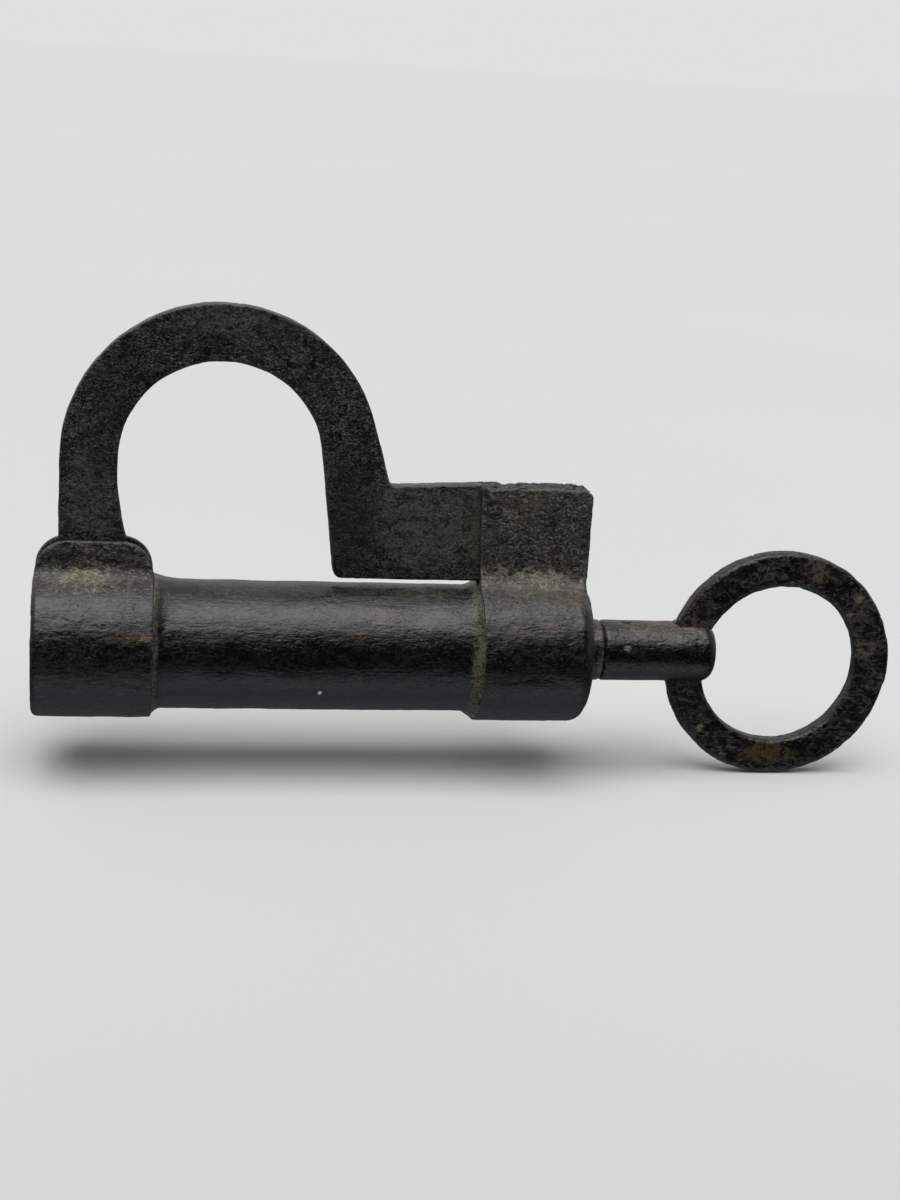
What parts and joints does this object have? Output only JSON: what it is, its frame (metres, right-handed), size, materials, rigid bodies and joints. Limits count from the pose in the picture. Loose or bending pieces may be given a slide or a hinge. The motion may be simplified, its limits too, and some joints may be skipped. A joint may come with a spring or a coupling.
{
  "type": "barrel padlock with screw key",
  "caption": "Wrought-iron barrel padlock with a flat bow shackle that swings on a riveted hinge, a sprung bolt in the barrel and a screw key with a ring bow.",
  "frame": {"origin": "centre of the shackle's round bow, at the middle of the bar's thickness", "axes": "+X along the barrel from the hinge end to the key, +Y through the shackle's opening, +Z from the barrel up to the crown of the shackle"},
  "size_m": [0.1978, 0.0332, 0.1054],
  "materials": {
    "barrel_iron": "satin",
    "band_iron": "satin",
    "shackle_iron": "satin",
    "key_iron": "satin",
    "key_ring_iron": "satin",
    "rivet_iron": "satin",
    "inner_iron": "satin",
    "spring_steel": "satin",
    "braze_brass": "satin"
  },
  "bodies": {
    "casing": {"barrel_tube": "barrel_iron", "hinge_band": "band_iron", "keeper_band": "band_iron", "hinge_band_braze": "braze_brass", "keeper_band_braze": "braze_brass", "keeper_end_web": "band_iron", "hinge_pin": "rivet_iron", "hinge_end_plug": "band_iron", "plug_pins": "rivet_iron", "key_end_plate": "band_iron", "key_bush": "barrel_iron", "bolt_guide_plate": "inner_iron", "guide_plate_pins": "rivet_iron", "bolt_spring": "spring_steel"},
    "bolt": {"bolt_piston": "inner_iron", "bolt_nose": "inner_iron", "bolt_thrust_stud": "inner_iron"},
    "key": {"key_stem": "key_iron", "key_shank": "key_iron", "key_shank_pin": "rivet_iron", "key_bow": "key_ring_iron", "key_bow_braze": "braze_brass"},
    "shackle": {"shackle": "shackle_iron"}
  },
  "joints": [
    {"name": "shackle_swing", "type": "hinge", "parent": "casing", "child": "shackle", "pos_m": [-0.0284, 0, -0.0215], "axis": [0, -1, 0], "range_deg": [0, 75]},
    {"name": "bolt_slide", "type": "slide", "parent": "casing", "child": "bolt", "axis": [1, 0, 0], "range_m": [0, 0.006], "deforming": ["bolt_spring"]},
    {"name": "key_turn", "type": "hinge", "parent": "bolt", "child": "key", "pos_m": [0.0879, 0, -0.0413], "axis": [1, 0, 0], "range_deg": [0, 864]}
  ],
  "couplings": [
    {"joint": "bolt_slide", "follows": "key_turn", "m_per_rad": 0.00039789}
  ]
}
